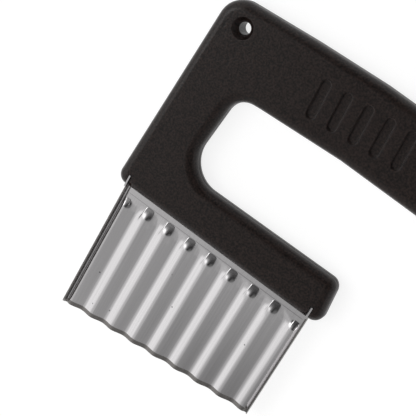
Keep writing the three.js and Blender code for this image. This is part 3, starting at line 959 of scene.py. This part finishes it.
def blade_mesh(blade):
    """The corrugated sheet with its flanges: two skins off the middle surface, and the edges between."""
    plan = BladePlan(blade)
    columns, rows = plan.columns(), plan.rows()
    middle = [[plan.point(column, row) for column in columns] for row in rows]
    ground_steps = 2
    full = blade.sheet / 2
    edge = blade.edge_thickness - blade.sheet / 2
    mesh = bmesh.new()
    front, rear = [], []
    for r, row in enumerate(middle):
        above = middle[min(r + 1, len(rows) - 1)]
        below = middle[max(r - 1, 0)]
        left_share = min(r / ground_steps, 1.0)
        front_row, rear_row = [], []
        for c, point in enumerate(row):
            across = row[min(c + 1, len(row) - 1)] - row[max(c - 1, 0)]
            normal = across.cross(above[c] - below[c]).normalized()
            front_row.append(mesh.verts.new(point + normal * (edge + (full - edge) * left_share)))
            rear_row.append(mesh.verts.new(point - normal * full))
        front.append(front_row)
        rear.append(rear_row)
    last_row, last_column = len(rows) - 1, len(columns) - 1
    for r in range(last_row):
        for c in range(last_column):
            face = mesh.faces.new((front[r][c], front[r][c + 1], front[r + 1][c + 1], front[r + 1][c]))
            # Painted shade: both flanges are dull and dark on the outside, and the one at the arm on the
            # inside too, in place of the dark things mirrored in them.
            on_flange = max(columns[c][2], columns[c + 1][2]) > 0.0
            shaded_front = on_flange and columns[c][0] < 0.0
            face.material_index = GROUND_AND_SHADED if r < ground_steps or shaded_front else BRIGHT
            face = mesh.faces.new((rear[r][c], rear[r + 1][c], rear[r + 1][c + 1], rear[r][c + 1]))
            face.material_index = GROUND_AND_SHADED if on_flange else BRIGHT
        # Painted shade: the cut rims are dark below the bar, and plain sheet inside it.
        rims = [
            mesh.faces.new((front[r][0], front[r + 1][0], rear[r + 1][0], rear[r][0])),
            mesh.faces.new((front[r + 1][-1], front[r][-1], rear[r][-1], rear[r + 1][-1])),
        ]
        for rim in rims:
            rim.material_index = GROUND_AND_SHADED if middle[r][0].y < -blade.tab_below_bar else BRIGHT
    for c in range(last_column):
        mesh.faces.new((front[0][c + 1], front[0][c], rear[0][c], rear[0][c + 1]))
        mesh.faces.new((front[-1][c], front[-1][c + 1], rear[-1][c + 1], rear[-1][c]))
    return mesh


class CUTTER_OT_blade(bpy.types.Operator):
    """Build the corrugated blade with its tang"""

    bl_idname = "cutter.blade"
    bl_label = "Blade"
    SHARP_DEGREES = 40

    def execute(self, context):
        blade = context.scene.crinkle_cutter.blade
        piece = new_piece("blade_sheet", blade_mesh(blade), self.SHARP_DEGREES)
        piece.data.materials.append(rolled_stainless(blade.shade))
        piece.data.materials.append(ground_and_shaded_stainless(blade.ground_and_shade_colour))
        tang = blade.width / 2 - blade.tang_inset
        thick = blade.sheet / 2
        plate = block_mesh((-tang, blade.tang_start, -thick), (tang, blade.tang_height, thick))
        combine(piece, [plate], "UNION", self.SHARP_DEGREES)
        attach(piece, "root")
        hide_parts("blade")
        return {"FINISHED"}


# Fixings


def screw_profile(fixing, head_z, tip_z):
    """A self-tapping screw's (radius, z) profile from its head's outer face to its tip."""
    head = fixing.head_diameter / 2
    crest = fixing.shank_diameter / 2
    root = crest - fixing.thread_depth
    rounding = fixing.head_rounding
    seat_z = head_z + fixing.head_height
    flank = fixing.thread_pitch / 4
    round_edge = quarter_turn(HEAD_STEPS)
    profile = [(head - rounding * (1 - s), head_z + rounding * (1 - c)) for s, c in round_edge]
    profile += [(head, seat_z), (root, seat_z)]
    for thread in range(int((tip_z - seat_z) / fixing.thread_pitch)):
        middle = seat_z + (thread + 0.5) * fixing.thread_pitch
        profile += [(root, middle - flank), (crest, middle), (root, middle + flank)]
    profile += [(root, tip_z - root), (fixing.tip_radius, tip_z)]
    return profile


def cross_recess(fixing, place):
    """The two closed blocks that cut a cross recess into a screw head, from just outside its face."""
    reach, width = fixing.cross_length / 2, fixing.cross_width / 2
    outward = Vector((0.0, 0.0, CUT_PAST))
    inward = Vector((0.0, 0.0, fixing.cross_depth))
    arms = []
    for across, along in ((reach, width), (width, reach)):
        corner = Vector((across, along, 0.0))
        arms.append(block_mesh(place - corner - outward, place + corner + inward))
    return arms


class CUTTER_OT_fixings(bpy.types.Operator):
    """Build the shell screws, and finish the tang pins"""

    bl_idname = "cutter.fixings"
    bl_label = "Screws and pins"

    def execute(self, context):
        fixing = context.scene.crinkle_cutter.fixing
        zinc = zinc_plated_steel(fixing.shade)
        for index, node in enumerate(SCREW_NODES):
            low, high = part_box(node)
            head = Vector((*middle_of(node).xy, low.z)) - PLAN_ORIGIN
            mesh = bmesh.new()
            turned_rings(mesh, screw_profile(fixing, head.z, high.z - PLAN_ORIGIN.z), head.x, head.y)
            piece = new_piece(f"shell_screw_{index + 1}_turned", mesh)
            combine(piece, cross_recess(fixing, head), "DIFFERENCE")
            dress(piece, zinc, node)
        for node in PIN_NODES:
            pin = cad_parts[node]
            pin.data.materials.clear()
            pin.data.materials.append(zinc)
        return {"FINISHED"}


# Stage

# The camera: its place from the plan's origin, the directions to its right and its top, and its sensor.
CAMERA_PLACE = Vector((109.25, 189.1, 449.6)) * MM
CAMERA_RIGHT = Vector((0.78636, 0.47173, -0.39888))
CAMERA_UP = Vector((-0.5677, 0.80644, -0.16543))
SENSOR_WIDTH = 36.0

# The flag over the blade: its clear and its thickest place from the plan's origin, its half sides, and
# the share of light that it stops where it is thickest.
FLAG_CLEAR = Vector((-55, -15, 50)) * MM
FLAG_THICK = Vector((75, -95, 50)) * MM
FLAG_REACH = Vector((220, 120)) * MM
FLAG_THICKNESS = 0.48

# The room is drawn on a ceiling at height one, in zones across it (towards the open side) and along it
# (towards the grip). Each zone is the places where it starts and ends, and its levels at those places.
PLAIN_ACROSS = (-0.33, -0.13, 1.17, 0.88)
PLAIN_ALONG = (-0.65, -0.45, 1.15, 1.0)
DARK_ALONG = (-0.392, -0.258, 1.0, 0.05)
DARK_ACROSS = (-0.511, -0.411, 1.0, 0.0)
DARK_BEYOND = (-0.1, 0.15, 0.0, 0.4)
ARM_WALL = (-1.22, -0.58, 0.94, 0.0)
OPEN_WALL = (1.5, 3.0, 0.0, 0.6)
ABOVE_SKIRTING = (-3.2, -2.0, 0.7, 1.0)

# Lower directions count as this high, so that the ceiling comes to an end.
LEAST_HEIGHT = 0.05

# The spot on that ceiling: its middle across and along, how much shorter it is along, and its size.
SPOT_ACROSS = -0.873
SPOT_ALONG = -0.041
SPOT_SQUASH = 1.3
SPOT_SIZE = 0.12


def stage_piece(name, data, material):
    """Add a mesh to the scene, with its material."""
    data.materials.append(material)
    piece = add_object(name, data)
    return piece


def paper_sweep(stage):
    """A round paper floor that curves up into a low wall, so that level views are white too."""
    cove = stage.sweep_cove
    bend = stage.sweep_radius - cove
    profile = [(cove, 0.0), (bend, 0.0)]
    profile += [(bend + cove * s, cove * (1 - c)) for s, c in quarter_turn(COVE_STEPS)[1:]]
    profile.append((stage.sweep_radius, stage.sweep_height))
    mesh = bmesh.new()
    rings = stack_rings(mesh, circle_outline(0.0, 0.0, 0.0, SWEEP_SIDES), profile)
    fill_between(mesh, [rings[0]])
    data = bpy.data.meshes.new("sweep")
    mesh.to_mesh(data)
    mesh.free()
    data.shade_smooth()
    stage_piece("sweep", data, white_sweep(stage.sweep_shade))


def overhead_fill(stage):
    """A level light panel over the object, which lights plastic and floor and isn't mirrored in the steel."""
    lamp = bpy.data.lights.new("overhead_fill", "AREA")
    lamp.shape = "SQUARE"
    lamp.size = stage.fill_size
    lamp.energy = stage.fill_level * math.pi * stage.fill_size**2
    panel = add_object("overhead_fill", lamp)
    panel.location = (-stage.fill_to_arm, 0.0, stage.fill_height)
    panel.visible_glossy = False


def studio_room(level, spot_level):
    """A room drawn as levels over the sky: bright walls, a soft spot by the arm, dark over the camera."""
    world = bpy.data.worlds.new("studio_room")
    world.use_nodes = True
    tree = world.node_tree
    tree.nodes.clear()

    def ease(place, zone, scale=1.0):
        """The level of a zone, which eases from its start to its end."""
        start, end, first, last = zone
        return map_range(tree, place, (start, end), (scale * first, scale * last), "SMOOTHSTEP")

    towards = add_node(tree, "ShaderNodeTexCoord").outputs["Generated"]
    parts = add_node(tree, "ShaderNodeSeparateXYZ", inputs={"Vector": towards}).outputs
    height = math_node(tree, "MAXIMUM", parts["Z"], LEAST_HEIGHT)
    across = math_node(tree, "DIVIDE", parts["X"], height)
    along = math_node(tree, "DIVIDE", parts["Y"], height)

    plain = math_node(tree, "MULTIPLY", ease(across, PLAIN_ACROSS, level), ease(along, PLAIN_ALONG))
    dark = math_node(tree, "MAXIMUM", ease(along, DARK_ALONG), ease(across, DARK_ACROSS))
    dark = math_node(tree, "MAXIMUM", dark, ease(across, DARK_BEYOND))
    ceiling = math_node(tree, "MULTIPLY", plain, dark)
    arm_side = math_node(tree, "ADD", ceiling, ease(across, ARM_WALL, level))
    arm_side = math_node(tree, "MULTIPLY", arm_side, ease(across, ABOVE_SKIRTING))
    walls = math_node(tree, "ADD", arm_side, ease(across, OPEN_WALL, level))

    # The spot is a soft oval: it falls off with the square of the distance from its middle.
    spot_across = math_node(tree, "SUBTRACT", across, SPOT_ACROSS)
    spot_along = math_node(tree, "SUBTRACT", along, SPOT_ALONG)
    spot_along = math_node(tree, "MULTIPLY", spot_along, SPOT_SQUASH)
    across_square = math_node(tree, "MULTIPLY", spot_across, spot_across)
    along_square = math_node(tree, "MULTIPLY", spot_along, spot_along)
    away = math_node(tree, "ADD", across_square, along_square)
    spread = math_node(tree, "EXPONENT", math_node(tree, "DIVIDE", away, -SPOT_SIZE))
    total = math_node(tree, "ADD", walls, math_node(tree, "MULTIPLY", spread, spot_level))

    sky = {"Color": [1.0, 1.0, 1.0, 1.0], "Strength": total}
    room = add_node(tree, "ShaderNodeBackground", inputs=sky)
    add_node(tree, "ShaderNodeOutputWorld", inputs={"Surface": room.outputs["Background"]})
    return world


def gauze_flag():
    """A level gauze flag by the blade's open side, which darkens that side's reflections only."""
    clear, thick = PLAN_ORIGIN + FLAG_CLEAR, PLAN_ORIGIN + FLAG_THICK
    middle = (clear + thick) / 2
    corners = []
    for across, along in ((-1, -1), (1, -1), (1, 1), (-1, 1)):
        corners.append(middle + Vector((across * FLAG_REACH.x, along * FLAG_REACH.y, 0.0)))
    data = bpy.data.meshes.new("flag")
    data.from_pydata(corners, [], [(0, 1, 2, 3)])
    flag = stage_piece("flag", data, black_gauze(clear, thick, FLAG_THICKNESS))
    flag.visible_camera = False
    flag.visible_diffuse = False
    flag.visible_shadow = False
    flag.visible_transmission = False


def aim_camera(stage):
    """The camera, placed and turned to see the cutter as the photograph does."""
    lens = bpy.data.cameras.new("camera")
    lens.lens = stage.lens
    lens.sensor_width = SENSOR_WIDTH
    back = CAMERA_RIGHT.cross(CAMERA_UP).normalized()
    up = back.cross(CAMERA_RIGHT).normalized()
    turn = Matrix((CAMERA_RIGHT.normalized(), up, back)).transposed()
    camera = add_object("camera", lens)
    camera.matrix_world = Matrix.Translation(PLAN_ORIGIN + CAMERA_PLACE) @ turn.to_4x4()
    bpy.context.scene.camera = camera


class CUTTER_OT_stage(bpy.types.Operator):
    """Set up the floor, the light and the camera"""

    bl_idname = "cutter.stage"
    bl_label = "Stage"

    def execute(self, context):
        stage = context.scene.crinkle_cutter.stage
        paper_sweep(stage)
        overhead_fill(stage)
        context.scene.world = studio_room(stage.room_level, stage.spot_level)
        gauze_flag()
        aim_camera(stage)
        context.scene.view_settings.view_transform = "Standard"
        return {"FINISHED"}


class CUTTER_PT_panel(bpy.types.Panel):
    """The cutter's pieces and settings"""

    bl_idname = "CUTTER_PT_panel"
    bl_label = "Crinkle Cutter"
    bl_space_type = "VIEW_3D"
    bl_region_type = "UI"
    bl_category = "Cutter"

    def draw(self, context):
        settings = context.scene.crinkle_cutter
        for operator, group in (
            (CUTTER_OT_handle, settings.handle),
            (CUTTER_OT_blade, settings.blade),
            (CUTTER_OT_fixings, settings.fixing),
            (CUTTER_OT_stage, settings.stage),
        ):
            box = self.layout.box()
            box.operator(operator.bl_idname)
            for name in group.__annotations__:
                box.prop(group, name)


CLASSES = (
    HandleSettings,
    BladeSettings,
    FixingSettings,
    StageSettings,
    CutterSettings,
    CUTTER_OT_handle,
    CUTTER_OT_blade,
    CUTTER_OT_fixings,
    CUTTER_OT_stage,
    CUTTER_PT_panel,
)


def register():
    for cls in CLASSES:
        bpy.utils.register_class(cls)
    bpy.types.Scene.crinkle_cutter = bpy.props.PointerProperty(type=CutterSettings)


def unregister():
    del bpy.types.Scene.crinkle_cutter
    for cls in reversed(CLASSES):
        bpy.utils.unregister_class(cls)


def main():
    register()
    bpy.ops.cutter.stage()
    bpy.ops.cutter.handle()
    bpy.ops.cutter.blade()
    bpy.ops.cutter.fixings()


if __name__ == "__main__":
    main()
